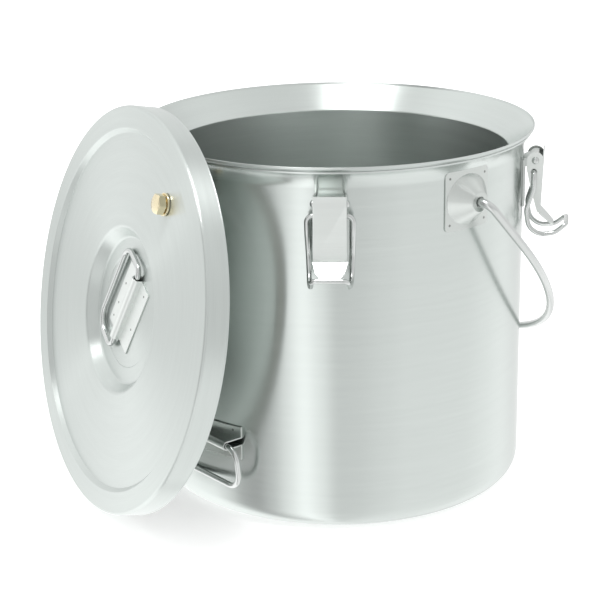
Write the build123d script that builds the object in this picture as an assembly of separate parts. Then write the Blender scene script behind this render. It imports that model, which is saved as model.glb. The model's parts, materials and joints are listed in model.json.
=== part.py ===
from build123d import *
from math import asin, cos, degrees, radians, sin, sqrt, tan
import os

# Double-walled steel food container with a bail, four toggle latches and a tip handle.
# Its lid is off and leans on the rim.  Millimetres, +Z up, origin at the centre of the flat
# base.  The bail's ears lie on the X axis and the tip handle faces -Y.

# ---- gauges, gaps and plays ---------------------------------------------------------------
shell_gauge = 1.2
vessel_gauge = 1.0
lid_gauge = 0.9
plate_gauge = 1.5
weld_gap = 0.2
fill_gap = 0.3
rest_gap = 0.3
pin_play = 0.1
side_play = 0.2

# ---- container ----------------------------------------------------------------------------
shell_radius = 189.3
base_height = 30.0
base_corner = 18.6
wall_space = 15.3
vessel_radius = shell_radius - wall_space
vessel_floor = 30.0
vessel_corner = 20.0
flare_bend = 3.0
flare_slope = 45.0
rim_reach = 10.2
rim_radius = shell_radius + rim_reach
rim_height = 366.4
rim_band = 2.5
rim_hem = 1.6

# ---- bail and its ears --------------------------------------------------------------------
bail_wire = 8.0
bail_below_rim = 44.4
bail_axis_height = rim_height - bail_below_rim
bail_reach = 29.7
bail_half_span = shell_radius + bail_reach
bail_leg = 64.0
bail_bend = 10.0
bail_head = 13.0
bail_head_length = 4.0
bail_hole_play = 1.2
ear_width = 55.0
ear_height = 57.5
ear_corner = 4.0
ear_gauge = 1.3
ear_cone_base = 49.0
ear_cone_top = 20.0
ear_cone_height = 16.0

# ---- toggle latches -----------------------------------------------------------------------
latch_azimuths = (-42.2, 42.2, 137.8, 222.2)
latch_below_rim = 33.4
latch_height = rim_height - latch_below_rim
latch_reach = 11.9
latch_plate_width = 27.0
latch_plate_drop = 48.0
latch_ear_spread = 24.4
curl_radius = 7.0
curl_start = 62.0
curl_end = 150.0
rivet_diameter = 5.0
collar_diameter = 8.0
rivet_head = 7.4
rivet_head_height = 2.8
lever_width = 31.0
lever_gauge = 1.4
lever_front = 8.9
lever_top = 8.8
lever_drop = 54.0
lever_taper = 2.7
cheek_gauge = 1.3
cheek_round = 8.6
cheek_shoulder = 8.5
tab_length = 19.0
tab_width = 33.0
tab_slope = 44.0
tab_shoulder = 7.0
tab_shoulder_width = 26.8
tab_tip_width = 17.5
tab_shoulder_bend = 8.0
tab_tip_bend = 3.0
latch_wire = 4.8
latch_wire_play = 0.7
wire_pivot_in = 1.2
wire_pivot_drop = 11.4
wire_shoulder = 21.6
wire_shoulder_bend = 6.5
wire_crossbar = 33.0
wire_knee_out = 6.6
wire_knee_drop = 38.0
wire_belly_out = 4.0
wire_belly_drop = 56.0
wire_turn_in = 7.0
wire_turn_drop = 63.5
wire_throat_in = 22.0
wire_throat_drop = 62.0
wire_hook_in = 33.5
wire_hook_drop = 52.5
wire_taper = 4.1
wire_upper_bend = 30.0
wire_bend = 15.0
wire_hook_bend = 5.0

# ---- tip handle ---------------------------------------------------------------------------
tip_wire = 5.6
tip_axis_height = 85.0
tip_axis_reach = 7.7
tip_half_width = 65.0
tip_curl_radius = 4.7
tip_plate_top = 100.0
tip_plate_bottom = 66.0
tip_bar_height = 42.0
tip_upper_bend = 14.0
tip_lower_bend = 18.0
loop_joint_gap = 1.0

# ---- lid, in its own frame: face along +Z, face edge at Z = 0 ------------------------------
lid_overhang = 1.8
lid_radius = rim_radius + lid_overhang
lid_skirt = 23.93
lid_bead = 1.0
lid_edge = 3.0
lid_rim_width = 22.3
lid_step_radius = lid_radius - lid_rim_width
lid_step_run = 4.0
lid_disc_depth = 4.2
recess_radius = 82.6
recess_run = 9.7
recess_depth = 15.0
recess_bend = 4.0
recess_floor_radius = 56.5
recess_floor_step = 0.8
seat_depth = 13.0
plug_clearance = 24.0
plug_radius = vessel_radius - plug_clearance
plug_depth = 25.8
plug_bend = 3.0
gasket_inset = 3.3
gasket_width = 14.0
gasket_outer = lid_radius - gasket_inset
gasket_inner = gasket_outer - gasket_width
gasket_thickness = 4.0
lid_lean = 11.05
lid_azimuth = -101.44
lid_shift = -10.8

# ---- lid handle ---------------------------------------------------------------------------
lid_wire = 5.5
lid_handle_turn = -26.0
lid_pin_height = 4.5
lid_curl_radius = 5.2
lid_plate_left = 28.0
lid_plate_right = 26.0
lid_plate_low = 35.0
lid_plate_high = 41.0
lid_loop_low = 50.0
lid_loop_high = 50.2
lid_bar_low = 41.2
lid_bar_high = 40.2
lid_upper_bend = 14.0
lid_lower_bend = 20.0
lid_pin_bend = 9.0

# ---- vent valve in the lid ----------------------------------------------------------------
valve_x = 72.0
valve_y = 123.0
valve_height = 11.5
valve_flange = 22.0
valve_flange_thickness = 2.0
valve_stem = 10.0
valve_bore = 5.0
valve_tail = 8.0
valve_hole_play = 0.3
valve_nut_flats = 15.0
valve_nut_thickness = 5.0
valve_cap_flats = 18.0
valve_cap_bevel = 1.6
valve_cap_wall = 2.4
valve_groove = 0.9
valve_seal_width = 18.0
valve_seal_thickness = 0.6


# ---- drawing helpers ----------------------------------------------------------------------
def sheet(points, radii, gauge):
    """Section of a sheet about a filleted centre line."""
    return trace(FilletPolyline(*points, radius=radii), gauge)


def outline(points, radii=0.0):
    """Closed face with filleted corners."""
    return make_face(FilletPolyline(*points, radius=radii, close=True))


def turned(section):
    """Section in (radius, height), turned about Z."""
    return revolve(Plane.XZ * section, Axis.Z)


def disc(radius, bottom, top):
    return Pos(0, 0, (bottom + top) / 2) * Cylinder(radius, top - bottom)


def ring(outer, inner, bottom, top):
    return disc(outer, bottom, top) - disc(inner, bottom, top)


def hexagon(flats, bottom, top):
    prism = extrude(RegularPolygon(flats / 2, 6, major_radius=False), top - bottom)
    return Pos(0, 0, bottom) * prism


def arch(radius, height):
    """Round-topped arch that stands on Y = 0."""
    shape = Pos(0, height) * Circle(radius) + Pos(0, height / 2) * Rectangle(2 * radius, height)
    return shape & Pos(0, height + radius) * Rectangle(2 * radius, 2 * (height + radius))


def side_plate(section, start, end):
    """Section in (X, Z), made solid from one Y to another."""
    return extrude(Plane.XZ.offset(-start) * section, start - end)


def cross_pin(diameter, start, end):
    """Round bar along Y."""
    return Pos(0, (start + end) / 2, 0) * Rot(90, 0, 0) * Cylinder(diameter / 2, end - start)


def wire_along(route, diameter):
    """Round wire along a route."""
    section = Plane(origin=route @ 0, z_dir=route % 0) * Circle(diameter / 2)
    return sweep(section, path=route)


def mirrored_pair(shape):
    return [shape, mirror(shape, about=Plane.XZ)]


# ---- container ----------------------------------------------------------------------------
slope = radians(flare_slope)
wall_mid = vessel_radius + vessel_gauge / 2
hem_mid = rim_radius - rim_hem / 2
flare_top = rim_height - rim_band + vessel_gauge / 2
flare_foot = flare_top - (hem_mid - wall_mid) * tan(slope)


def under_flare(radius, gap):
    """Height that leaves a gap under the flare."""
    return flare_foot + (radius - wall_mid) * tan(slope) - (vessel_gauge / 2 + gap) / cos(slope)


def make_outer_shell():
    inner = shell_radius - shell_gauge
    return turned(outline([
        (inner, base_height),
        (shell_radius, base_height),
        (shell_radius, under_flare(shell_radius, weld_gap)),
        (inner, under_flare(inner, weld_gap)),
    ]))


def make_outer_base():
    mid = shell_radius - shell_gauge / 2
    floor = shell_gauge / 2
    dish = [(0, floor), (mid, floor), (mid, base_height)]
    return turned(sheet(dish, base_corner - floor, shell_gauge))


def make_inner_vessel():
    floor = vessel_floor - vessel_gauge / 2
    bowl = [(0, floor), (wall_mid, floor), (wall_mid, flare_foot), (hem_mid, flare_top)]
    body = turned(sheet(bowl, [vessel_corner + vessel_gauge / 2, flare_bend], vessel_gauge))
    return body + ring(rim_radius, rim_radius - rim_hem, rim_height - rim_band, rim_height)


def make_vessel_insulation():
    outer = shell_radius - shell_gauge - fill_gap
    inner = vessel_radius + vessel_gauge + fill_gap
    low = shell_gauge + fill_gap
    high = vessel_floor - vessel_gauge - fill_gap
    gap = 2 * fill_gap
    corners = [
        (0, low),
        (outer, low),
        (outer, under_flare(outer, gap)),
        (inner, under_flare(inner, gap)),
        (inner, high),
        (0, high),
    ]
    return turned(outline(corners, [0, base_corner, 0, 0, vessel_corner, 0]))


# ---- bail and its ears --------------------------------------------------------------------
ear_face = shell_radius + weld_gap + ear_gauge
ear_tip = ear_face + ear_cone_height
bail_head_end = ear_tip - ear_gauge - side_play
bail_hole = bail_wire + 2 * bail_hole_play
bail_depth = bail_leg + bail_half_span
bail_lean = degrees(asin((shell_radius + bail_wire / 2 + rest_gap) / bail_depth))


def cone_along_x(start, end, start_radius, end_radius):
    cone = Cone(start_radius, end_radius, end - start)
    return Pos((start + end) / 2, 0, 0) * Rot(0, 90, 0) * cone


def bar_along_x(diameter, start, end):
    bar = Cylinder(diameter / 2, end - start)
    return Pos((start + end) / 2, 0, 0) * Rot(0, 90, 0) * bar


def make_bail_ear():
    half = ear_width / 2
    start = sqrt(shell_radius ** 2 - half ** 2) - ear_gauge
    spread = (ear_cone_base - ear_cone_top) / 2 / ear_cone_height
    foot = ear_cone_base / 2 + spread * (ear_face - start)
    wall = ear_gauge * sqrt(1 + spread ** 2)
    block = RectangleRounded(ear_width, ear_height, ear_corner)
    plate = extrude(Plane.YZ.offset(start) * block, ear_face - start)
    cone = cone_along_x(start, ear_tip, foot, ear_cone_top / 2)
    cone &= bar_along_x(ear_cone_base + ear_gauge, start, ear_tip)
    roof = ear_tip - ear_gauge
    hollow = cone_along_x(start, roof, foot - wall, ear_cone_top / 2 + spread * ear_gauge - wall)
    hole = bar_along_x(bail_hole, start, ear_tip)
    body = (plate & disc(ear_face, -ear_height, ear_height)) + cone
    body = body - hollow - hole - disc(shell_radius + weld_gap, -ear_height, ear_height)
    return Pos(0, 0, bail_axis_height) * body


def make_bail():
    straight = bail_half_span - bail_bend
    route = Curve() + [
        Line((-bail_head_end, 0), (-straight, 0)),
        RadiusArc((-straight, 0), (-bail_half_span, -bail_bend), -bail_bend),
        Line((-bail_half_span, -bail_bend), (-bail_half_span, -bail_leg)),
        ThreePointArc((-bail_half_span, -bail_leg), (0, -bail_depth), (bail_half_span, -bail_leg)),
        Line((bail_half_span, -bail_leg), (bail_half_span, -bail_bend)),
        RadiusArc((bail_half_span, -bail_bend), (straight, 0), -bail_bend),
        Line((straight, 0), (bail_head_end, 0)),
    ]
    rod = sweep(Plane.YZ.offset(-bail_head_end) * Circle(bail_wire / 2), path=Plane.XZ * route)
    head = bar_along_x(bail_head, bail_head_end - bail_head_length, bail_head_end)
    rod = rod + head + Rot(0, 0, 180) * head
    return Pos(0, 0, bail_axis_height) * Rot(bail_lean, 0, 0) * rod


# ---- toggle latches: drawn at azimuth 0 about the rivet's axis ------------------------------
rivet_radius = shell_radius + latch_reach
rivet_hole = rivet_diameter + 2 * pin_play
cheek_inside = lever_width / 2 - cheek_gauge
wire_pivot = (-wire_pivot_in, 0, -wire_pivot_drop)


def at_latch(azimuth):
    return Rot(0, 0, azimuth) * Pos(rivet_radius, 0, latch_height)


def make_latch_bracket():
    back = weld_gap - latch_reach
    front = back + plate_gauge
    half = latch_plate_width / 2
    half_ear = latch_ear_spread / 2
    inside = half_ear - plate_gauge
    sunk = front - half
    blank = [(front, 0), (front, -latch_plate_drop), (sunk, -latch_plate_drop), (sunk, 0)]
    body = side_plate(outline(blank), -half, half)
    bend = curl_radius - plate_gauge / 2
    foot = (bend * cos(radians(curl_end)), bend * sin(radians(curl_end)))
    strap = trace(CenterArc((0, 0), bend, curl_start, curl_end - curl_start), plate_gauge)
    strap += trace(Line(foot, (back, 0)), plate_gauge)
    body += side_plate(strap, -half_ear, half_ear)
    ear = Circle(curl_radius) + outline([
        (back, 0),
        foot,
        (0, curl_radius / 2),
        (curl_radius / 2, -curl_radius / 2),
        (front, -curl_radius),
        (back, -curl_radius),
    ])
    body += side_plate(ear, -half_ear, half_ear) - side_plate(ear, -inside, inside)
    wall = Pos(-rivet_radius, 0, 0) * Cylinder(shell_radius + weld_gap, 4 * latch_plate_drop)
    return body - cross_pin(rivet_hole, -half, half) - wall


def make_latch_rivet():
    head_foot = lever_width / 2 + pin_play
    collar_start = latch_ear_spread / 2 + side_play
    collar_end = cheek_inside - side_play
    below = Pos(0, 0, -rivet_head / 2) * Box(rivet_head, rivet_head, rivet_head)
    dome = Sphere(rivet_head / 2) - below
    dome = scale(dome, by=(1, 1, 2 * rivet_head_height / rivet_head))
    head = Pos(0, head_foot, 0) * Rot(-90, 0, 0) * dome
    rivet = cross_pin(rivet_diameter, -head_foot - pin_play, head_foot + pin_play)
    collar = cross_pin(collar_diameter, collar_start, collar_end)
    for part in mirrored_pair(head) + mirrored_pair(collar):
        rivet += part
    return rivet


def make_latch_lever():
    half = lever_width / 2
    crease = (lever_front - lever_taper - lever_gauge / 2, -lever_drop)
    top = (lever_front - lever_gauge / 2, lever_top)
    slant = radians(tab_slope)
    tip = (crease[0] + tab_length * cos(slant), crease[1] - tab_length * sin(slant))
    front = side_plate(trace(Line(top, crease), lever_gauge), -half, half)
    inward = (-cos(slant), 0, sin(slant))
    facing = (sin(slant), 0, cos(slant))
    tab_plane = Plane(origin=(tip[0], 0, tip[1]), x_dir=inward, z_dir=facing)
    tongue = [
        (tab_length, tab_width / 2),
        (tab_shoulder, tab_shoulder_width / 2),
        (0, tab_tip_width / 2),
    ]
    tongue += [(x, -y) for x, y in reversed(tongue)]
    corners = [0, tab_shoulder_bend, tab_tip_bend, tab_tip_bend, tab_shoulder_bend, 0]
    tab = extrude(tab_plane * outline(tongue, corners), lever_gauge / 2, both=True)
    cheek = Circle(cheek_round) + outline([
        (-cheek_round, 0),
        (-cheek_round, -cheek_shoulder),
        (-0.62 * cheek_round, -0.43 * lever_drop),
        (-0.27 * cheek_round, -0.64 * lever_drop),
        (0.14 * cheek_round, -0.88 * lever_drop),
        (crease[0] - 2 * lever_gauge, -0.97 * lever_drop),
        crease,
        (top[0], 0),
    ])
    body = front + tab
    for part in mirrored_pair(side_plate(cheek, cheek_inside, half)):
        body += part
    body -= cross_pin(rivet_hole, -tab_width, tab_width)
    wire_hole = latch_wire + 2 * latch_wire_play
    return body - Pos(*wire_pivot) * cross_pin(wire_hole, -tab_width, tab_width)


def make_latch_wire():
    arm = [
        (0.0, cheek_inside - cheek_gauge, 0.0),
        (0.0, wire_shoulder, 0.0),
        (0.3, wire_shoulder - 0.2, -16.0),
        (-wire_knee_out, wire_shoulder - 1.0, -wire_knee_drop),
        (-wire_belly_out, wire_shoulder - 1.8, -wire_belly_drop),
        (wire_turn_in, wire_shoulder - 2.4, -wire_turn_drop),
        (wire_throat_in, wire_shoulder - wire_taper, -wire_throat_drop),
        (wire_hook_in, wire_crossbar / 2, -wire_hook_drop),
    ]
    bends = [wire_shoulder_bend, wire_upper_bend] + 4 * [wire_bend] + [wire_hook_bend]
    far_arm = [(x, -y, z) for x, y, z in reversed(arm)]
    route = FilletPolyline(*arm, *far_arm, radius=bends + bends[::-1])
    return Pos(*wire_pivot) * wire_along(route, latch_wire)


# ---- tip handle, drawn facing +X and turned to -Y ------------------------------------------
tip_axis_radius = shell_radius + tip_axis_reach
at_tip = Rot(0, 0, -90)


def make_tip_bracket():
    skin = shell_radius + weld_gap
    body = ring(skin + plate_gauge, skin, tip_plate_bottom, tip_plate_top)
    depth = tip_axis_radius - skin * cos(asin(tip_half_width / skin))
    section = Circle(tip_curl_radius) + Pos(-depth, 0) * Rectangle(2 * depth, 2 * tip_curl_radius)
    hollow = tip_curl_radius - plate_gauge
    bore = Circle(hollow) + Pos(-depth, 0) * Rectangle(2 * depth, 2 * hollow)
    place = Pos(tip_axis_radius, 0, tip_axis_height)
    curl = place * side_plate(section, -tip_half_width, tip_half_width)
    throat = place * side_plate(bore, -2 * tip_half_width, 2 * tip_half_width)
    height = tip_plate_top - tip_plate_bottom
    middle = (tip_plate_top + tip_plate_bottom) / 2
    keep = Pos(shell_radius, 0, middle) * Box(shell_radius, 2 * tip_half_width, height)
    body = ((body & keep) + curl) - throat
    return at_tip * (body - disc(skin, 0, rim_height))


def make_tip_loop():
    swing = tip_axis_height - tip_bar_height
    bar_radius = shell_radius + rest_gap + tip_wire / 2
    lean = (tip_axis_radius - bar_radius) / swing
    reach = tip_half_width + tip_upper_bend
    cut = loop_joint_gap / 2
    flat = [(cut, 0), (reach, 0), (reach, -swing), (-reach, -swing), (-reach, 0), (-cut, 0)]
    points = [(tip_axis_radius + lean * z, y, tip_axis_height + z) for y, z in flat]
    bends = [tip_upper_bend, tip_lower_bend, tip_lower_bend, tip_upper_bend]
    return at_tip * wire_along(FilletPolyline(*points, radius=bends), tip_wire)


# ---- lid ----------------------------------------------------------------------------------
half_gauge = lid_gauge / 2
skirt_mid = lid_radius - half_gauge
skirt_inside = lid_radius - lid_gauge
disc_mid = -lid_disc_depth - half_gauge
recess_mid = -recess_depth - half_gauge
recess_floor = -recess_depth - recess_floor_step
floor_mid = recess_floor - half_gauge
bead_radius = skirt_mid - lid_bead / 3
lean = radians(lid_lean)


def lid_location():
    """The lid stands on its skirt and its seat rests on the container's rim."""
    bead_drop = (lid_skirt - lid_bead) * sin(lean) + bead_radius * cos(lean) + lid_bead
    height = rest_gap + bead_drop
    seat = seat_depth + rest_gap + rim_radius * cos(lean) + rim_height * sin(lean)
    away = (seat - height * sin(lean)) / cos(lean)
    azimuth = radians(lid_azimuth)
    forward = Vector(cos(azimuth), sin(azimuth), 0)
    across = Vector(-sin(azimuth), cos(azimuth), 0)
    face = forward * cos(lean) + Vector(0, 0, sin(lean))
    centre = forward * away + across * lid_shift + Vector(0, 0, height)
    return Plane(origin=centre, x_dir=across, z_dir=face).location


at_lid = lid_location()
at_handle = at_lid * Rot(0, 0, lid_handle_turn)
at_valve = at_lid * Pos(valve_x, valve_y, -lid_disc_depth)
valve_hole = valve_stem + 2 * valve_hole_play


def valve_passage(diameter):
    """Way for the valve through the lid's layers."""
    return Pos(valve_x, valve_y, 0) * disc(diameter / 2, -2 * plug_depth, 0)


def make_lid_outer_skin():
    foot = recess_radius - recess_run
    pan = [
        (0, floor_mid),
        (recess_floor_radius, floor_mid),
        (recess_floor_radius + recess_floor_step, recess_mid),
        (foot, recess_mid),
        (recess_radius, disc_mid),
        (lid_step_radius - lid_step_run, disc_mid),
        (lid_step_radius, -half_gauge),
        (skirt_mid, -half_gauge),
        (skirt_mid, lid_bead - lid_skirt),
    ]
    small = recess_floor_step / 2
    bends = [small, small, recess_bend, recess_bend, lid_gauge, lid_gauge, lid_edge - half_gauge]
    skin = turned(sheet(pan, bends, lid_gauge))
    bead = Pos(0, 0, lid_bead - lid_skirt) * Torus(bead_radius, lid_bead)
    return at_lid * (skin + bead - valve_passage(valve_hole))


def make_lid_inner_skin():
    edge = skirt_inside - weld_gap
    seat = half_gauge - seat_depth
    wall = plug_radius - half_gauge
    floor = half_gauge - plug_depth
    pan = [(edge, seat), (wall, seat), (wall, floor), (0, floor)]
    return at_lid * (turned(sheet(pan, plug_bend, lid_gauge)) - valve_passage(valve_hole))


def make_lid_insulation():
    gap = half_gauge + fill_gap
    rise = disc_mid - recess_mid
    aside = gap * sqrt(recess_run ** 2 + rise ** 2) / rise + fill_gap
    foot = recess_radius - recess_run
    wall = plug_radius - lid_gauge - fill_gap
    seat = lid_gauge + fill_gap - seat_depth
    corners = [
        (0, floor_mid - gap),
        (foot + aside, floor_mid - gap),
        (recess_radius + aside, disc_mid - gap),
        (lid_step_radius - lid_step_run / 2, disc_mid - gap),
        (lid_step_radius + lid_step_run / 2, -half_gauge - gap),
        (skirt_inside - lid_edge, -half_gauge - gap),
        (skirt_inside - fill_gap, -lid_edge),
        (skirt_inside - fill_gap, seat),
        (wall, seat),
        (wall, lid_gauge + fill_gap - plug_depth),
        (0, lid_gauge + fill_gap - plug_depth),
    ]
    bends = [0, 0, 0, 0, 0, 0, 0, 0, 0, plug_bend, 0]
    return at_lid * (turned(outline(corners, bends)) - valve_passage(valve_hole + 2 * fill_gap))


def make_lid_gasket():
    return at_lid * ring(gasket_outer, gasket_inner, -seat_depth - gasket_thickness, -seat_depth)


def make_lid_handle_bracket():
    across = Pos((lid_plate_right - lid_plate_left) / 2, plate_gauge / 2)
    section = across * Rectangle(lid_plate_left + lid_plate_right, plate_gauge)
    section += arch(lid_curl_radius, lid_pin_height)
    section -= arch(lid_curl_radius - plate_gauge, lid_pin_height)
    body = side_plate(section, -lid_plate_low, lid_plate_high)
    return at_handle * Pos(0, 0, recess_floor) * body


def make_lid_handle_loop():
    cut = loop_joint_gap / 2
    flat = [
        (0, cut),
        (0, lid_loop_high),
        (-lid_bar_high, lid_loop_high),
        (-lid_bar_low, -lid_loop_low),
        (0, -lid_loop_low),
        (0, -cut),
    ]
    drop = lid_pin_height - recess_floor_step - rest_gap - lid_wire / 2
    points = [(x, y, drop * x / lid_bar_low) for x, y in flat]
    bends = [lid_pin_bend, lid_upper_bend, lid_lower_bend, lid_pin_bend]
    loop = wire_along(FilletPolyline(*points, radius=bends), lid_wire)
    return at_handle * Pos(0, 0, recess_floor + lid_pin_height) * loop


# ---- vent valve, drawn with the lid's disc at Z = 0 -----------------------------------------
valve_inside = lid_disc_depth - plug_depth
flange_foot = valve_seal_thickness
flange_top = flange_foot + valve_flange_thickness
cap_foot = flange_top + valve_groove
cap_roof = valve_height - valve_cap_wall
valve_neck = valve_cap_flats - 2 * valve_cap_wall - 2 * pin_play


def make_valve_body():
    body = disc(valve_stem / 2, valve_inside - valve_tail, flange_top)
    body += disc(valve_flange / 2, flange_foot, flange_top)
    body += disc(valve_neck / 2, flange_top, cap_roof - side_play)
    return at_valve * (body - disc(valve_bore / 2, valve_inside - valve_tail, cap_roof))


def make_valve_seal():
    return at_valve * ring(valve_seal_width / 2, valve_stem / 2 + pin_play, 0, flange_foot)


def make_valve_nut():
    nut = hexagon(valve_nut_flats, valve_inside - valve_nut_thickness, valve_inside)
    return at_valve * (nut - disc(valve_stem / 2 + pin_play, -2 * plug_depth, 0))


def make_valve_cap():
    radius = valve_cap_flats / 2
    corner = radius / cos(radians(30))
    cap = hexagon(valve_cap_flats, cap_foot, valve_height)
    dome = turned(outline([
        (0, 0),
        (corner, 0),
        (corner, valve_height - valve_cap_bevel),
        (radius - valve_cap_bevel, valve_height),
        (0, valve_height),
    ]))
    return at_valve * ((cap & dome) - disc(valve_neck / 2 + pin_play, cap_foot, cap_roof))


# ---- pieces -------------------------------------------------------------------------------
pieces = {
    "outer_shell": make_outer_shell(),
    "outer_base": make_outer_base(),
    "inner_vessel": make_inner_vessel(),
    "vessel_insulation": make_vessel_insulation(),
    "bail": make_bail(),
    "tip_handle_bracket": make_tip_bracket(),
    "tip_handle_loop": make_tip_loop(),
    "lid_outer_skin": make_lid_outer_skin(),
    "lid_inner_skin": make_lid_inner_skin(),
    "lid_insulation": make_lid_insulation(),
    "lid_gasket": make_lid_gasket(),
    "lid_handle_bracket": make_lid_handle_bracket(),
    "lid_handle_loop": make_lid_handle_loop(),
    "valve_body": make_valve_body(),
    "valve_seal": make_valve_seal(),
    "valve_nut": make_valve_nut(),
    "valve_cap": make_valve_cap(),
}
for side, turn in (("right", 0), ("left", 180)):
    pieces[f"bail_ear_{side}"] = Rot(0, 0, turn) * make_bail_ear()
latch_set = {
    "latch_bracket": make_latch_bracket(),
    "latch_rivet": make_latch_rivet(),
    "latch_lever": make_latch_lever(),
    "latch_wire": make_latch_wire(),
}
for number, azimuth in enumerate(latch_azimuths, start=1):
    for name, shape in latch_set.items():
        pieces[f"{name}_{number}"] = at_latch(azimuth) * shape

os.makedirs("parts", exist_ok=True)
for name, shape in pieces.items():
    export_step(shape, f"parts/{name}.step")
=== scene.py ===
import json
import math

import bmesh
import bpy
from bpy.props import FloatProperty, FloatVectorProperty, IntProperty, PointerProperty
from mathutils import Matrix, Vector


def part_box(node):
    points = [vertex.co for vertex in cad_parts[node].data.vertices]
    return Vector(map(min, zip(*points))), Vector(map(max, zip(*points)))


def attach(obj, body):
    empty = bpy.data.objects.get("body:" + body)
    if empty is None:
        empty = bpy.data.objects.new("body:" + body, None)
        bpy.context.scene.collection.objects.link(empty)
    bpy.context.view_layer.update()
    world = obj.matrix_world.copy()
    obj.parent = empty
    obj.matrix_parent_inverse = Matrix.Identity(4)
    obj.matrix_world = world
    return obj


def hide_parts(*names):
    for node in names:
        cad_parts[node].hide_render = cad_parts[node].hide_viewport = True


bl_info = {
    "name": "Insulated Food Container",
    "version": (1, 0, 0),
    "blender": (4, 5, 0),
    "location": "View3D > Sidebar > Container",
    "description": "Finishes a double-walled steel food container with lid, latches and handles",
    "category": "Add Mesh",
}

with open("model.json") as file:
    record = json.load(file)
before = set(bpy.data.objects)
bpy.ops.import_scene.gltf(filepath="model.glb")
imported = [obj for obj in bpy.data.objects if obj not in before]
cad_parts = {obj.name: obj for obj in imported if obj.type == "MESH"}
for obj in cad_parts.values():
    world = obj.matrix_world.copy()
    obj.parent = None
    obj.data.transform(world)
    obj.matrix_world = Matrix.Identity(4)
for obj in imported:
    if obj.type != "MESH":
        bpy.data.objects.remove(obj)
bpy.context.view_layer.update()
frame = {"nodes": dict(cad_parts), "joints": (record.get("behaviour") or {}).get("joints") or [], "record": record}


# ---- sizes and colours --------------------------------------------------------------------
def length(label, text, default):
    return FloatProperty(name=label, description=text, default=default, unit="LENGTH", precision=5)


def share(label, text, default):
    return FloatProperty(name=label, description=text, default=default, min=0.0, max=1.0)


def colour(label, text, default):
    return FloatVectorProperty(
        name=label, description=text, default=default, subtype="COLOR", min=0.0, max=1.0
    )


class ContainerSizes(bpy.types.PropertyGroup):
    """Sizes of the double-walled container"""

    shell_radius: length("Shell radius", "Outside of the wall", 0.1893)
    shell_gauge: length("Shell gauge", "Thickness of the outer wall", 0.0012)
    base_height: length("Base height", "Height of the pressed base", 0.030)
    base_corner: length("Base corner", "Radius between base and wall", 0.0186)
    vessel_radius: length("Vessel radius", "Inside of the inner vessel", 0.174)
    vessel_gauge: length("Vessel gauge", "Thickness of the inner vessel", 0.001)
    vessel_floor: length("Vessel floor", "Height of the inner floor", 0.030)
    vessel_corner: length("Vessel corner", "Radius between inner floor and wall", 0.020)
    flare_bend: length("Flare bend", "Radius where the flare begins", 0.0025)
    wall_bend: length("Wall bend", "Radius where the wall turns into the flare", 0.020)
    rim_radius: length("Rim radius", "Outside of the rim", 0.1995)
    rim_height: length("Rim height", "Top of the rim", 0.3664)
    rim_hem: length("Rim hem", "Thickness of the rolled edge", 0.0016)
    rim_band: length("Rim band", "Height of the rolled edge", 0.0025)
    rim_flat: length("Rim flat", "Width of the flat along the rim's top", 0.00072)
    hem_bend: length("Hem bend", "Radius where the flare meets the rolled edge", 0.001)
    rim_bend: length("Rim bend", "Radius of the rim's two top edges", 0.0003)
    lip_bend: length("Lip bend", "Radius of the rolled edge's lower corner", 0.0004)
    turns: IntProperty(name="Turns", description="Steps round a turned piece", default=256, min=24)


class LidSizes(bpy.types.PropertyGroup):
    """Sizes of the lid, whose face edge is at height 0"""

    radius: length("Lid radius", "Outside of the skirt", 0.2013)
    gauge: length("Lid gauge", "Thickness of the lid sheets", 0.0009)
    skirt: length("Skirt", "Height of the skirt with its bead", 0.02393)
    bead: length("Bead", "Radius of the bead", 0.001)
    edge: length("Edge", "Radius of the outer edge", 0.003)
    step_radius: length("Step radius", "Inside of the raised margin", 0.179)
    step_run: length("Step run", "Width of the sloping step", 0.004)
    disc_depth: length("Disc depth", "Depth of the face inside the margin", 0.0042)
    recess_radius: length("Recess radius", "Mouth of the handle recess", 0.0826)
    recess_run: length("Recess run", "Width of the recess wall", 0.0097)
    recess_depth: length("Recess depth", "Depth of the recess", 0.015)
    recess_bend: length("Recess bend", "Radius of the recess edges", 0.004)
    floor_radius: length("Floor radius", "Pressed disc in the recess floor", 0.0565)
    floor_step: length("Floor step", "Depth of the pressed disc", 0.0008)
    seat_depth: length("Seat depth", "Depth of the gasket seat", 0.013)
    plug_radius: length("Plug radius", "Outside of the plug", 0.150)
    plug_depth: length("Plug depth", "Bottom of the plug", 0.0258)
    gasket_outer: length("Gasket outside", "Outer radius of the gasket", 0.198)
    gasket_inner: length("Gasket inside", "Inner radius of the gasket", 0.184)
    gasket_thickness: length("Gasket thickness", "Thickness of the gasket", 0.004)
    gasket_bend: length("Gasket bend", "Radius of the gasket's lower edges", 0.001)
    plug_bend: length("Plug bend", "Radius of the plug's two bends", 0.003)


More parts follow.
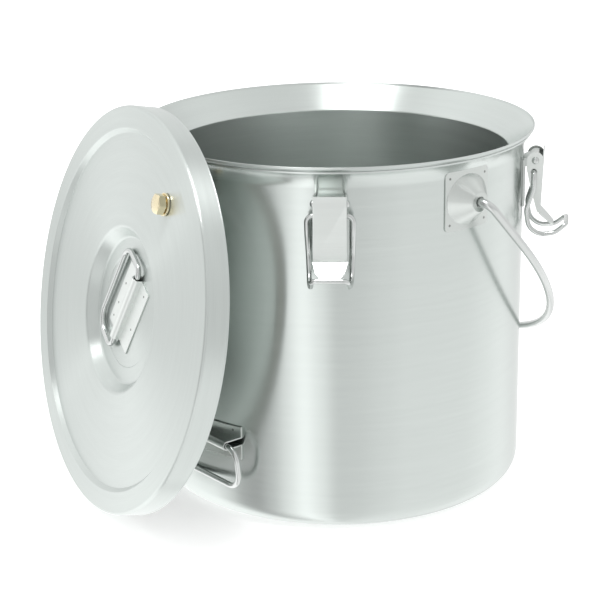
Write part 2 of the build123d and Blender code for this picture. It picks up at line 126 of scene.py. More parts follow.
class FittingSizes(bpy.types.PropertyGroup):
    """Sizes and places of the ears, brackets and weld marks"""

    ear_axis: length("Ear axis", "Height of the bail's axis", 0.322)
    ear_face: length("Ear face", "From the container's axis to the ear's plate", 0.1908)
    ear_gauge: length("Ear gauge", "Thickness of the pressed ear", 0.0013)
    cone_base: length("Cone base", "Radius of the ear's cone at its plate", 0.0245)
    cone_top: length("Cone top", "Radius of the ear's cone at its tip", 0.010)
    cone_height: length("Cone height", "Height of the ear's cone", 0.016)
    cone_hole: length("Cone hole", "Radius of the bail's hole", 0.0052)
    cone_round: length("Cone round", "Radius of the cone's edge", 0.0015)
    cone_margin: length("Cone margin", "Reach past the cone's foot for faces that it replaces", 0.0003)
    ear_mark: length("Ear marks", "Offset of the ear's weld marks from its middle", 0.0225)
    ear_edge: length("Ear edge", "Rounding of the ear's edges", 0.0004)
    bail_edge: length("Bail edge", "Rounding of the bail's ends", 0.0006)
    rivet_edge: length("Rivet edge", "Rounding of a rivet's head", 0.0002)
    lever_edge: length("Lever edge", "Rounding of a latch lever's edges", 0.0005)
    valve_edge: length("Valve edge", "Rounding of the valve's edges", 0.0004)
    tip_face: length("Tip face", "From the container's axis to the tip handle's bracket", 0.191)
    mark_radius: length("Mark radius", "Radius of a weld mark", 0.0013)
    lid_plate: length("Lid plate", "Height of the lid bracket's face", -0.0143)
    lid_turn: FloatProperty(
        name="Lid turn",
        description="Turn of the lid's handle",
        default=math.radians(-26.0),
        unit="ROTATION",
    )


class FinishSettings(bpy.types.PropertyGroup):
    """Colours and roughness of the finishes"""

    steel: colour("Brushed steel", "Tone of the turned sheet", (0.60, 0.64, 0.62))
    plate: colour("Plate steel", "Tone of the pressed fittings", (0.60, 0.63, 0.61))
    lever: colour("Lever steel", "Tone of the latch levers", (0.68, 0.71, 0.69))
    # Painted light: the lid bracket's tone is set lighter than the other fittings' steel, to stand in for light
    # falling on its raised barrel.
    bracket: colour("Bracket steel painted lighter", "Tone of the lid handle's bracket", (0.78, 0.81, 0.79))
    wire: colour("Wire steel", "Tone of the round wire", (0.60, 0.62, 0.61))
    brass: colour("Brass", "Tone of the valve", (0.80, 0.71, 0.49))
    gasket: colour("Gasket", "Tone of the rubber", (0.62, 0.61, 0.57))
    foam: colour("Foam", "Tone of the rigid foam", (0.80, 0.74, 0.52))
    weld: colour("Weld mark", "Tone of the spot welds", (0.26, 0.27, 0.26))
    floor: colour("Floor", "Tone of the floor", (0.95, 0.95, 0.95))
    wall_roughness: share("Wall roughness", "Roughness of the container's sheet", 0.24)
    vessel_roughness: share("Vessel roughness", "Roughness of the inner vessel's sheet", 0.30)
    lid_roughness: share("Lid roughness", "Roughness of the lid's sheet", 0.32)
    cone_roughness: share("Cone roughness", "Roughness of the ears' cones", 0.18)
    plate_roughness: share("Plate roughness", "Roughness of the fittings", 0.30)
    bracket_roughness: share("Bracket roughness", "Roughness of the lid handle's bracket", 0.42)
    wire_roughness: share("Wire roughness", "Roughness of the wire", 0.22)
    weld_roughness: share("Weld roughness", "Roughness of the spot welds", 0.45)
    brass_roughness: share("Brass roughness", "Roughness of the valve", 0.24)
    gasket_roughness: share("Gasket roughness", "Roughness of the rubber", 0.55)
    foam_roughness: share("Foam roughness", "Roughness of the foam", 0.90)
    floor_roughness: share("Floor roughness", "Roughness of the floor", 0.90)


class StageSettings(bpy.types.PropertyGroup):
    """Floor, light and lens"""

    floor_radius: length("Floor radius", "Radius of the round floor", 14.0)
    floor_drop: length("Floor drop", "Gap between the floor and the container's base", 0.0003)
    lamp_size: length("Lamp size", "Side of the soft lamp", 1.1)
    lamp_power: FloatProperty(
        name="Lamp power", description="Power of the soft lamp", default=30.0, unit="POWER"
    )
    focal_length: FloatProperty(
        name="Focal length", description="Lens of the camera", default=107.484, unit="CAMERA"
    )
    sensor_width: FloatProperty(
        name="Sensor width", description="Width of the camera's sensor", default=36.0, unit="CAMERA"
    )


# ---- shader node helpers ------------------------------------------------------------------
# Fineness of a turned piece's grain, round it and per metre along its section.
TURNED_FINE = {"Round": 5.0, "Along": 1700.0}
TURNED_COARSE = {"Round": 1.2, "Along": 160.0}
# Fineness of the grain of the other metal pieces along X, Y and Z, per metre.
PLATE_GRAIN = (40.0, 40.0, 1500.0)
WIRE_GRAIN = (120.0, 120.0, 120.0)
BRASS_GRAIN = (900.0, 900.0, 900.0)
# Fineness of the coarse pattern as a share of the fine one's.
COARSE_SHARE = 0.12
# Share of the fine pattern in the grain's tone, and how far the roughness follows the tone.
FINE_SHARE = 0.6
ROUGHNESS_SPREAD = 0.35
# Strength and depth of the bump that each kind of surface has.
TURNED_BUMP = {"Strength": 0.10, "Distance": 0.00002}
PLAIN_BUMP = {"Strength": 0.12, "Distance": 0.00002}
CLOUD_BUMP = {"Strength": 0.20, "Distance": 0.0002}
# Half the width of the vessel's upright weld seam, in turns, and its height, in scratches.
SEAM_WIDTH = 1 / 900.0
SEAM_HEIGHT = 6.0
# A quarter turn of the shader's tangent, so that streaks of light cross the scratches.
ACROSS_SCRATCHES = 0.25
# What sets a finish apart: the contrast of its grain, the strength of its streaks of light, the
# place of a seam in turns, or the fineness and the spread of a cloudy tone.
VESSEL_GRAIN = {"contrast": 0.20, "streak": 0.75, "seam": -38.0 / 360}
LID_GRAIN = {"contrast": 0.22, "streak": 0.90}
CONE_GRAIN = {"contrast": 0.12, "streak": 0.90}
WELD_CLOUD = {"scale": 900.0, "spread": 0.50, "metallic": 1.0}
RUBBER_CLOUD = {"scale": 500.0, "spread": 0.15}
FOAM_CLOUD = {"scale": 700.0, "spread": 0.35}


def add_node(tree, kind, links=None, values=None, **settings):
    """Adds a node, sets it up, and feeds its inputs from sockets or plain values."""
    made = tree.nodes.new(kind)
    for name, value in settings.items():
        setattr(made, name, value)
    for key, value in (values or {}).items():
        made.inputs[key].default_value = value
    for key, socket in (links or {}).items():
        tree.links.new(socket, made.inputs[key])
    return made


def calc(tree, operation, a, b=None, clamp=False):
    """Math node on sockets or numbers."""
    made = tree.nodes.new("ShaderNodeMath")
    made.operation = operation
    made.use_clamp = clamp
    for slot, value in enumerate([a] if b is None else [a, b]):
        if isinstance(value, (int, float)):
            made.inputs[slot].default_value = value
        else:
            tree.links.new(value, made.inputs[slot])
    return made.outputs[0]


def new_group(name, inputs, outputs):
    """Shader node group with named sockets: (name, type, default) each."""
    tree = bpy.data.node_groups.new(name, "ShaderNodeTree")
    for label, kind, default in inputs:
        socket = tree.interface.new_socket(label, in_out="INPUT", socket_type=kind)
        if default is not None:
            socket.default_value = default
    for label, kind in outputs:
        tree.interface.new_socket(label, in_out="OUTPUT", socket_type=kind)
    return tree, tree.nodes.new("NodeGroupInput").outputs, tree.nodes.new("NodeGroupOutput").inputs


def noise(tree, vector, scale, detail=2.0, roughness=0.5):
    """Cloudy value from 0 to 1."""
    values = {"Scale": scale, "Detail": detail, "Roughness": roughness}
    return add_node(tree, "ShaderNodeTexNoise", {"Vector": vector}, values).outputs["Fac"]


def around_one(tree, cloud, spread):
    """Turns a value from 0 to 1 into a gain that varies by the spread about 1."""
    centred = calc(tree, "SUBTRACT", cloud, 0.5)
    return calc(tree, "ADD", calc(tree, "MULTIPLY", centred, spread), 1.0)


def turned_coordinates():
    """Coordinates that run round a turned piece without a seam, and along its section."""
    tree, given, result = new_group(
        "Turned coordinates",
        [
            ("UV", "NodeSocketVector", None),
            ("Round", "NodeSocketFloat", TURNED_FINE["Round"]),
            ("Along", "NodeSocketFloat", TURNED_FINE["Along"]),
        ],
        [("Vector", "NodeSocketVector")],
    )
    parts = add_node(tree, "ShaderNodeSeparateXYZ", {"Vector": given["UV"]}).outputs
    angle = calc(tree, "MULTIPLY", parts["X"], 2 * math.pi)
    x = calc(tree, "MULTIPLY", calc(tree, "COSINE", angle), given["Round"])
    y = calc(tree, "MULTIPLY", calc(tree, "SINE", angle), given["Round"])
    z = calc(tree, "MULTIPLY", parts["Y"], given["Along"])
    joined = add_node(tree, "ShaderNodeCombineXYZ", {"X": x, "Y": y, "Z": z})
    tree.links.new(joined.outputs["Vector"], result["Vector"])
    return tree


def brushed_grain():
    """Fine scratches in one direction, with slow changes of tone."""
    tree, given, result = new_group(
        "Brushed grain",
        [
            ("Fine", "NodeSocketVector", None),
            ("Coarse", "NodeSocketVector", None),
            ("Color", "NodeSocketColor", (0.6, 0.6, 0.6, 1.0)),
            ("Contrast", "NodeSocketFloat", 0.10),
            ("Roughness", "NodeSocketFloat", 0.3),
        ],
        [("Color", "NodeSocketColor"), ("Roughness", "NodeSocketFloat"), ("Height", "NodeSocketFloat")],
    )
    fine = noise(tree, given["Fine"], 1.0, 3.0, 0.7)
    coarse = noise(tree, given["Coarse"], 1.0, 2.0, 0.5)
    fine_part = calc(tree, "MULTIPLY", fine, FINE_SHARE)
    coarse_part = calc(tree, "MULTIPLY", coarse, 1 - FINE_SHARE)
    mixed = calc(tree, "ADD", fine_part, coarse_part)
    gain = around_one(tree, mixed, given["Contrast"])
    rougher = around_one(tree, mixed, ROUGHNESS_SPREAD)
    links = {0: given["Color"], "Scale": gain}
    scaled = add_node(tree, "ShaderNodeVectorMath", links, operation="SCALE")
    tree.links.new(scaled.outputs["Vector"], result["Color"])
    rough = calc(tree, "MULTIPLY", given["Roughness"], rougher, clamp=True)
    tree.links.new(rough, result["Roughness"])
    tree.links.new(fine, result["Height"])
    return tree


def group_named(name, maker):
    """The shader node group of that name, made when it is first asked for."""
    return bpy.data.node_groups.get(name) or maker()


def new_material(name):
    """Empty material with a Principled shader; returns it, its tree and the shader."""
    material = bpy.data.materials.new(name)
    material.use_nodes = True
    tree = material.node_tree
    return material, tree, tree.nodes["Principled BSDF"]


def brushed_metal(tree, shader, patterns, values, bump, seam=None):
    """Feeds bare brushed metal into the shader, from the fine and coarse patterns of its grain."""
    group = group_named("Brushed grain", brushed_grain)
    links = dict(zip(("Fine", "Coarse"), patterns))
    grain = add_node(tree, "ShaderNodeGroup", links, values, node_tree=group).outputs
    height = grain["Height"]
    if seam is not None:
        height = calc(tree, "ADD", height, calc(tree, "MULTIPLY", seam, SEAM_HEIGHT))
    normal = add_node(tree, "ShaderNodeBump", {"Height": height}, bump).outputs["Normal"]
    tree.links.new(grain["Color"], shader.inputs["Base Color"])
    tree.links.new(grain["Roughness"], shader.inputs["Roughness"])
    tree.links.new(normal, shader.inputs["Normal"])
    shader.inputs["Metallic"].default_value = 1.0


def turned_steel(name, tone, roughness, contrast=0.16, streak=0.85, seam=None):
    """Steel sheet brushed round its axis; seam is the place of an upright weld, in turns."""
    material, tree, shader = new_material(name)
    uv = add_node(tree, "ShaderNodeUVMap", uv_map="Turned").outputs["UV"]
    group = group_named("Turned coordinates", turned_coordinates)
    patterns = [
        add_node(tree, "ShaderNodeGroup", {"UV": uv}, fineness, node_tree=group).outputs["Vector"]
        for fineness in (TURNED_FINE, TURNED_COARSE)
    ]
    mark = None
    if seam is not None:
        turns = add_node(tree, "ShaderNodeSeparateXYZ", {"Vector": uv}).outputs["X"]
        off = calc(tree, "ABSOLUTE", calc(tree, "SUBTRACT", turns, seam))
        fall = calc(tree, "MULTIPLY", off, 1 / SEAM_WIDTH)
        mark = calc(tree, "SUBTRACT", 1.0, fall, clamp=True)
    values = {"Color": (*tone, 1.0), "Contrast": contrast, "Roughness": roughness}
    brushed_metal(tree, shader, patterns, values, TURNED_BUMP, mark)
    tangent = add_node(tree, "ShaderNodeTangent", direction_type="UV_MAP", uv_map="Turned")
    tree.links.new(tangent.outputs["Tangent"], shader.inputs["Tangent"])
    shader.inputs["Anisotropic"].default_value = streak
    shader.inputs["Anisotropic Rotation"].default_value = ACROSS_SCRATCHES
    return material


def plain_metal(name, tone, roughness, contrast=0.14, stretch=PLATE_GRAIN):
    """Metal with a straight grain; stretch is the grain's fineness along each axis."""
    material, tree, shader = new_material(name)
    place = add_node(tree, "ShaderNodeTexCoord").outputs["Object"]
    slow = tuple(size * COARSE_SHARE for size in stretch)
    patterns = [
        add_node(tree, "ShaderNodeMapping", {"Vector": place}, {"Scale": scale}).outputs["Vector"]
        for scale in (stretch, slow)
    ]
    values = {"Color": (*tone, 1.0), "Contrast": contrast, "Roughness": roughness}
    brushed_metal(tree, shader, patterns, values, PLAIN_BUMP)
    return material


def mottled(name, tone, roughness, scale, spread, metallic=0.0):
    """Plain finish with a cloudy change of tone and a fine texture."""
    material, tree, shader = new_material(name)
    place = add_node(tree, "ShaderNodeTexCoord").outputs["Object"]
    cloud = noise(tree, place, scale, 3.0)
    gain = around_one(tree, cloud, spread)
    scaled = add_node(tree, "ShaderNodeVectorMath", {"Scale": gain}, {0: tone}, operation="SCALE")
    normal = add_node(tree, "ShaderNodeBump", {"Height": cloud}, CLOUD_BUMP).outputs["Normal"]
    tree.links.new(scaled.outputs["Vector"], shader.inputs["Base Color"])
    rough = calc(tree, "MULTIPLY", gain, roughness, clamp=True)
    tree.links.new(rough, shader.inputs["Roughness"])
    tree.links.new(normal, shader.inputs["Normal"])
    shader.inputs["Metallic"].default_value = metallic
    return material


def finish(name):
    """The material of that name, made when it is first asked for."""
    made = bpy.data.materials.get(name)
    if made:
        return made
    look = bpy.context.scene.container_finish
    makers = {
        "Brushed wall": (turned_steel, look.steel, look.wall_roughness, {}),
        "Brushed vessel": (turned_steel, look.steel, look.vessel_roughness, VESSEL_GRAIN),
        "Brushed lid": (turned_steel, look.steel, look.lid_roughness, LID_GRAIN),
        "Pressed cone": (turned_steel, look.plate, look.cone_roughness, CONE_GRAIN),
        "Lever plate": (plain_metal, look.lever, look.plate_roughness, {}),
        "Brushed plate": (plain_metal, look.plate, look.plate_roughness, {}),
        # The welded plate takes the bracket's tone, which is painted lighter to stand in for light on the bracket.
        "Welded plate": (plain_metal, look.bracket, look.bracket_roughness, {}),
        "Drawn wire": (plain_metal, look.wire, look.wire_roughness, {"stretch": WIRE_GRAIN}),
        "Turned brass": (plain_metal, look.brass, look.brass_roughness, {"stretch": BRASS_GRAIN}),
        "Weld mark": (mottled, look.weld, look.weld_roughness, WELD_CLOUD),
        "Food rubber": (mottled, look.gasket, look.gasket_roughness, RUBBER_CLOUD),
        "Rigid foam": (mottled, look.foam, look.foam_roughness, FOAM_CLOUD),
    }
    maker, tone, roughness, pattern = makers[name]
    return maker(name, tone, roughness, **pattern)


# ---- mesh helpers -------------------------------------------------------------------------
# Steps in a rounded bend of a section.
BEND_STEPS = 6
# Points of a turned piece and of a CAD mesh that are this close are one point.
TURNED_MERGE = 1e-7
CAD_MERGE = 2e-6
# A point this close to the axis has no direction round it.
ON_AXIS = 1e-6
# Faces of a CAD mesh that meet at less than this angle are one face.
FLAT_ANGLE = math.radians(0.6)
# Space between two sheets that lie on each other.
SHEET_GAP = 0.0002
# Steps round the cone of an ear and round a weld mark.
CONE_STEPS = 96
MARK_STEPS = 16
# A weld mark's section as (share of its radius, height): flat middle, raised ring, sunk edge.
MARK_SECTION = ((0, 0.00002), (0.5, 0.00002), (0.8, 0.00010), (1, -0.00004))


def body_of(node):
    """The CAD body that a node belongs to."""
    for body, nodes in frame["record"]["behaviour"]["bodies"].items():
        if node in nodes:
            return body
    raise ValueError(f"no body holds {node}")


def add_piece(name, bm, material, body, sharp=35.0):
    """Makes an object of the mesh, smooth but for edges sharper than that angle."""
    for face in bm.faces:
        face.smooth = True
    for edge in bm.edges:
        edge.smooth = edge.is_manifold and edge.calc_face_angle(0.0) < math.radians(sharp)
    mesh = bpy.data.meshes.new(name)
    bm.to_mesh(mesh)
    bm.free()
    mesh.materials.append(material)
    piece = bpy.data.objects.new(name, mesh)
    bpy.context.scene.collection.objects.link(piece)
    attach(piece, body)
    return piece


def section_line(bm, points, closed):
    """Section of (radius, height, bend radius) points in the XZ plane, with its bends rounded."""
    verts = [bm.verts.new((radius, 0, height)) for radius, height, _ in points]
    for pair in zip(verts, verts[1:] + verts[:1] if closed else verts[1:]):
        bm.edges.new(pair)
    for vert, (_, _, bend) in zip(verts, points):
        if bend:
            ways = [edge.other_vert(vert).co - vert.co for edge in vert.link_edges]
            turn = math.pi - ways[0].angle(ways[1])
            bmesh.ops.bevel(
                bm,
                geom=[vert],
                offset=bend * math.tan(turn / 2),
                offset_type="OFFSET",
                segments=BEND_STEPS,
                profile=0.5,
                affect="VERTICES",
                material=-1,
            )


def number_run(bm):
    """Stores how far each point is along the section line, from an open line's end."""
    run = bm.verts.layers.float.new("run")
    left = list(bm.verts)
    ends = [vert for vert in left if len(vert.link_edges) == 1]
    vert = (ends or left)[0]
    distance = 0.0
    while vert is not None:
        vert[run] = distance
        left.remove(vert)
        beside = [edge.other_vert(vert) for edge in vert.link_edges]
        ahead = next((other for other in beside if other in left), None)
        if ahead is not None:
            distance += (ahead.co - vert.co).length
        vert = ahead


def sort_faces(bm):
    """Puts the faces in the order of their points, because spin adds them in no fixed order."""
    bm.verts.index_update()
    count = len(bm.verts)

    def rank(face):
        numbers = [vert.index for vert in face.verts]
        return min(numbers) * count + max(numbers)

    bm.faces.sort(key=rank)


def turn_section(bm, steps):
    """Spins the section about Z and gives the skin a UV map: turns across, metres along."""
    number_run(bm)
    bmesh.ops.spin(
        bm,
        geom=bm.verts[:] + bm.edges[:],
        cent=(0, 0, 0),
        axis=(0, 0, 1),
        dvec=(0, 0, 0),
        angle=2 * math.pi,
        steps=steps,
        use_merge=True,
    )
    bmesh.ops.remove_doubles(bm, verts=bm.verts[:], dist=TURNED_MERGE)
    bmesh.ops.recalc_face_normals(bm, faces=bm.faces[:])
    sort_faces(bm)
    run = bm.verts.layers.float["run"]
    uv = bm.loops.layers.uv.new("Turned")
    for face in bm.faces:
        middle = face.calc_center_median()
        home = math.atan2(middle.y, middle.x)
        for loop in face.loops:
            place = loop.vert.co
            angle = home
            if place.xy.length > ON_AXIS:
                angle += math.remainder(math.atan2(place.y, place.x) - home, 2 * math.pi)
            loop[uv].uv = (angle / (2 * math.pi), loop.vert[run])
    bm.verts.layers.float.remove(run)


def turned_piece(
    name, points, material, body, closed=False, steps=None, place=None, thickness=None
):
    """Object turned from a section, or from the middle line of a sheet of that thickness."""
    bm = bmesh.new()
    section_line(bm, points, closed)
    turn_section(bm, steps or bpy.context.scene.container_sizes.turns)
    if place is not None:
        bmesh.ops.transform(bm, matrix=place, verts=bm.verts[:])
    piece = add_piece(name, bm, material, body)
    if thickness is not None:
        wall = piece.modifiers.new("Wall", "SOLIDIFY")
        wall.thickness = thickness
        wall.offset = 0.0
        wall.use_even_offset = True
        wall.use_quality_normals = True
    even = piece.modifiers.new("Even shading", "WEIGHTED_NORMAL")
    even.mode = "FACE_AREA"
    even.keep_sharp = True
    return piece


def dress(node, name, material, edge=0.0003, segments=2, sharp=35.0, drop=None):
    """Smooth copy of a CAD node that replaces it, with softened edges, less the faces to drop."""
    bm = bmesh.new()
    bm.from_mesh(frame["nodes"][node].data)
    bmesh.ops.remove_doubles(bm, verts=bm.verts[:], dist=CAD_MERGE)
    if drop is not None:
        bmesh.ops.delete(bm, geom=[face for face in bm.faces if drop(face)], context="FACES")
    bmesh.ops.dissolve_limit(bm, angle_limit=FLAT_ANGLE, verts=bm.verts[:], edges=bm.edges[:])
    piece = add_piece(name, bm, material, body_of(node), sharp)
    if edge:
        soft = piece.modifiers.new("Soft edges", "BEVEL")
        soft.width = edge
        soft.segments = segments
        soft.limit_method = "ANGLE"
        soft.angle_limit = math.radians(sharp)
        soft.harden_normals = True
    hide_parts(node)
    return piece


def weld_marks(name, places, body):
    """Shallow round spot-weld marks, one at each place with its Z outwards."""
    size = bpy.context.scene.fitting_sizes.mark_radius
    points = [(part * size, height, 0) for part, height in MARK_SECTION]
    bm = bmesh.new()
    for place in places:
        single = bmesh.new()
        section_line(single, points, False)
        turn_section(single, MARK_STEPS)
        bmesh.ops.transform(single, matrix=place, verts=single.verts[:])
        passed = bpy.data.meshes.new("mark")
        single.to_mesh(passed)
        single.free()
        bm.from_mesh(passed)
        bpy.data.meshes.remove(passed)
    return add_piece(name, bm, finish("Weld mark"), body, sharp=60.0)


def facing(place, outward):
    """Matrix at a place with Z outward and Y as upright as can be."""
    out = Vector(outward).normalized()
    side = Vector((0, 0, 1)).cross(out).normalized()
    turn = Matrix((side, out.cross(side), out)).transposed().to_4x4()
    return Matrix.Translation(place) @ turn


def joint(name):
    """The frame's row for the joint of that name."""
    return next(row for row in frame["joints"] if row["name"] == name)


def lid_place():
    """Matrix from the lid's own frame, face edge at height 0, to where it leans."""
    normal = Vector(joint("valve_cap_turn")["axis"]).normalized()
    away = Vector(joint("lid_slide")["axis"]).normalized()
    across = Vector((0, 0, 1)).cross(away)
    low, high = (Vector(corner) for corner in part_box("lid_gasket"))
    sizes = bpy.context.scene.lid_sizes
    centre = (low + high) / 2 + normal * (sizes.seat_depth + sizes.gasket_thickness / 2)
    turn = Matrix((across, normal.cross(across), normal)).transposed().to_4x4()
    return Matrix.Translation(centre) @ turn


# ---- pieces -------------------------------------------------------------------------------
class CONTAINER_OT_wall(bpy.types.Operator):
    """Outer wall, pressed base and inner vessel with its flared rim"""

    bl_idname = "container.wall"
    bl_label = "Walls and Vessel"

    def execute(self, context):
        s = context.scene.container_sizes
        inner = s.shell_radius - s.shell_gauge
        # The flare rises at 45 degrees, so its sheet is half a gauge times root 2 to each side
        # of its middle, measured upright, and a step out is an equal step up.
        half = s.vessel_gauge / 2
        aslant = half * math.sqrt(2)
        gap = SHEET_GAP * math.sqrt(2)
        flare_top = s.rim_height - s.rim_band + half
        wall_mid = s.vessel_radius + half
        flare_foot = flare_top - (s.rim_radius - s.rim_hem / 2 - wall_mid)

        def under(radius):
            """Height of the wall's lip at that radius, just below the flare."""
            return flare_foot + radius - wall_mid - aslant - gap

        lip = s.rim_radius - s.rim_hem - s.shell_gauge
        below = s.shell_gauge * math.sqrt(2)
        wall = [
            (inner, s.base_height, 0),
            (s.shell_radius, s.base_height, 0),
            (s.shell_radius, under(s.shell_radius) - below, s.wall_bend),
            (lip, under(lip) - below, 0),
            (lip, under(lip), 0),
            (inner, under(inner), 0),
        ]
        steel = finish("Brushed wall")
        piece = turned_piece("wall_sheet", wall, steel, "container", closed=True)
        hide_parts("outer_shell")
        base = [
            (0, 0, 0),
            (s.shell_radius, 0, s.base_corner),
            (s.shell_radius, s.base_height, 0),
            (inner, s.base_height, 0),
            (inner, s.shell_gauge, s.base_corner - s.shell_gauge),
            (0, s.shell_gauge, 0),
        ]
        piece = turned_piece("base_dish", base, steel, "container")
        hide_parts("outer_base")
        band = s.rim_radius - s.rim_hem
        low = s.rim_height - s.rim_band
        outside = s.vessel_radius + s.vessel_gauge
        vessel = [
            (0, s.vessel_floor, 0),
            (s.vessel_radius, s.vessel_floor, s.vessel_corner),
            (s.vessel_radius, flare_foot - half + aslant, s.flare_bend),
            (band, flare_foot + band - wall_mid + aslant, s.hem_bend),
            (s.rim_radius - s.rim_flat, s.rim_height, s.rim_bend),
            (s.rim_radius, s.rim_height, s.rim_bend),
            (s.rim_radius, low, s.lip_bend),
            (wall_mid + low - flare_foot + aslant, low, 0),
            (outside, flare_foot + half - aslant, s.flare_bend + s.vessel_gauge),
            (outside, s.vessel_floor - s.vessel_gauge, s.vessel_corner + s.vessel_gauge),
            (0, s.vessel_floor - s.vessel_gauge, 0),
        ]
        piece = turned_piece("vessel_liner", vessel, finish("Brushed vessel"), "container")
        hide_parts("inner_vessel")
        return {"FINISHED"}


class CONTAINER_OT_ears(bpy.types.Operator):
    """Pressed ears that hold the bail, with their spot welds, and the bail"""

    bl_idname = "container.ears"
    bl_label = "Ears and Bail"

    def execute(self, context):
        s = context.scene.fitting_sizes
        # The plate is curved, so the cone reaches down to where the plate is lowest round its foot.
        spread = (s.cone_base - s.cone_top) / s.cone_height
        wall = s.ear_gauge * math.sqrt(1 + spread**2)
        sunk = s.ear_face - math.sqrt(s.ear_face**2 - s.cone_base**2)
        foot = s.cone_base + spread * sunk
        bottom = s.ear_face - sunk
        top = s.ear_face + s.cone_height
        roof = top - s.ear_gauge
        cone = [
            (foot, bottom, 0),
            (s.cone_top, top, s.cone_round),
            (s.cone_hole, top, s.cone_round / 3),
            (s.cone_hole, roof, 0),
            (s.cone_top + spread * s.ear_gauge - wall, roof, 0),
            (foot - wall, bottom, 0),
        ]
        reach = foot + s.cone_margin

        def on_cone(face):
            """Whether this face of the CAD ear lies where the turned cone goes."""
            off = [math.hypot(vert.co.y, vert.co.z - s.ear_axis) for vert in face.verts]
            return max(off) < reach and min(off) < s.cone_base - wall / 2

        for side, name in ((1, "right"), (-1, "left")):
            steel = finish("Brushed plate")
            piece = dress(
                f"bail_ear_{name}", f"ear_{name}", steel, s.ear_edge, segments=3, drop=on_cone
            )
            place = facing((0, 0, s.ear_axis), (side, 0, 0))
            piece = turned_piece(
                f"ear_cone_{name}",
                cone,
                finish("Pressed cone"),
                "container",
                closed=True,
                steps=CONE_STEPS,
                place=place,
            )
            places = []
            for y in (-s.ear_mark, s.ear_mark):
                for z in (-s.ear_mark, s.ear_mark):
                    out = Vector((side * math.sqrt(s.ear_face**2 - y**2), y, 0))
                    places.append(facing(out + Vector((0, 0, s.ear_axis + z)), out))
            weld_marks(f"ear_welds_{name}", places, "container")
        piece = dress("bail", "bail_wire", finish("Drawn wire"), s.bail_edge, sharp=50.0)
        return {"FINISHED"}


class CONTAINER_OT_latches(bpy.types.Operator):
    """Four toggle latches: bracket, rivet, lever and hook wire"""

    bl_idname = "container.latches"
    bl_label = "Latches"

    def execute(self, context):
        s = context.scene.fitting_sizes
        wire = finish("Drawn wire")
        for number in (1, 2, 3, 4):
            piece = dress(f"latch_bracket_{number}", f"bracket_{number}", finish("Brushed plate"))
            piece = dress(f"latch_rivet_{number}", f"rivet_{number}", wire, s.rivet_edge)
            steel = finish("Lever plate")
            piece = dress(
                f"latch_lever_{number}", f"lever_plate_{number}", steel, s.lever_edge, segments=3
            )
            piece = dress(f"latch_wire_{number}", f"hook_wire_{number}", wire, edge=0)
        return {"FINISHED"}


# Rows of weld marks on the tip handle's bracket, as (height, places across).
TIP_MARKS = (
    (0.0955, (-0.056, -0.028, 0, 0.028, 0.056)),
    (0.0715, (-0.046, 0, 0.046)),
)


class CONTAINER_OT_tip_handle(bpy.types.Operator):
    """Handle low on the wall for tipping, with its bracket and spot welds"""

    bl_idname = "container.tip_handle"
    bl_label = "Tip Handle"

    def execute(self, context):
        piece = dress("tip_handle_bracket", "tip_bracket", finish("Brushed plate"))
        face = context.scene.fitting_sizes.tip_face
        places = []
        for height, spots in TIP_MARKS:
            for x in spots:
                out = Vector((x, -math.sqrt(face**2 - x**2), 0))
                places.append(facing(out + Vector((0, 0, height)), out))
        weld_marks("tip_welds", places, "container")
        piece = dress("tip_handle_loop", "tip_wire", finish("Drawn wire"), edge=0)
        return {"FINISHED"}


class CONTAINER_OT_lid(bpy.types.Operator):
    """Lid: outer and inner skins and the gasket"""

    bl_idname = "container.lid"
    bl_label = "Lid"

    def execute(self, context):
        s = context.scene.lid_sizes
        place = lid_place()
        half = s.gauge / 2
        skirt = s.radius - half
        disc = -s.disc_depth - half
        recess = -s.recess_depth - half
        floor = recess - s.floor_step
        small = s.floor_step / 2
        pan = [
            (0, floor, 0),
            (s.floor_radius, floor, small),
            (s.floor_radius + s.floor_step, recess, small),
            (s.recess_radius - s.recess_run, recess, s.recess_bend),
            (s.recess_radius, disc, s.recess_bend),
            (s.step_radius - s.step_run, disc, s.gauge),
            (s.step_radius, -half, s.gauge),
            (skirt, -half, s.edge - half),
            (skirt, s.bead - s.skirt, 0),
        ]
        steel = finish("Brushed lid")
        piece = turned_piece("lid_pan", pan, steel, "lid", place=place, thickness=s.gauge)
        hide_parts("lid_outer_skin")
        # The bead's middle is a third of its radius inside the skirt's sheet. A square with its
        # corners rounded by nearly half its side makes its round section.
        bead = skirt - s.bead / 3
        low = s.bead - s.skirt
        corner = s.bead * 0.98
        ring = [
            (bead + x * s.bead, low + z * s.bead, corner)
            for x, z in ((-1, -1), (1, -1), (1, 1), (-1, 1))
        ]
        piece = turned_piece("lid_bead", ring, steel, "lid", closed=True, place=place)
        edge = s.radius - s.gauge - SHEET_GAP
        seat = half - s.seat_depth
        wall = s.plug_radius - half
        bottom = half - s.plug_depth
        under = [
            (edge, seat, 0),
            (wall, seat, s.plug_bend),
            (wall, bottom, s.plug_bend),
            (0, bottom, 0),
        ]
        piece = turned_piece("lid_plug", under, steel, "lid", place=place, thickness=s.gauge)
        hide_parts("lid_inner_skin")
        top = -s.seat_depth
        gasket = [
            (s.gasket_inner, top, 0),
            (s.gasket_outer, top, 0),
            (s.gasket_outer, top - s.gasket_thickness, s.gasket_bend),
            (s.gasket_inner, top - s.gasket_thickness, s.gasket_bend),
        ]
        rubber = finish("Food rubber")
        piece = turned_piece("rubber_gasket", gasket, rubber, "lid", closed=True, place=place)
        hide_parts("lid_gasket")
        return {"FINISHED"}


# Weld marks on the lid handle's bracket, as places across and along it.
LID_MARKS = ((-0.022, 0.016), (-0.022, -0.009), (-0.022, -0.026), (0.019, 0.034), (0.019, -0.009))


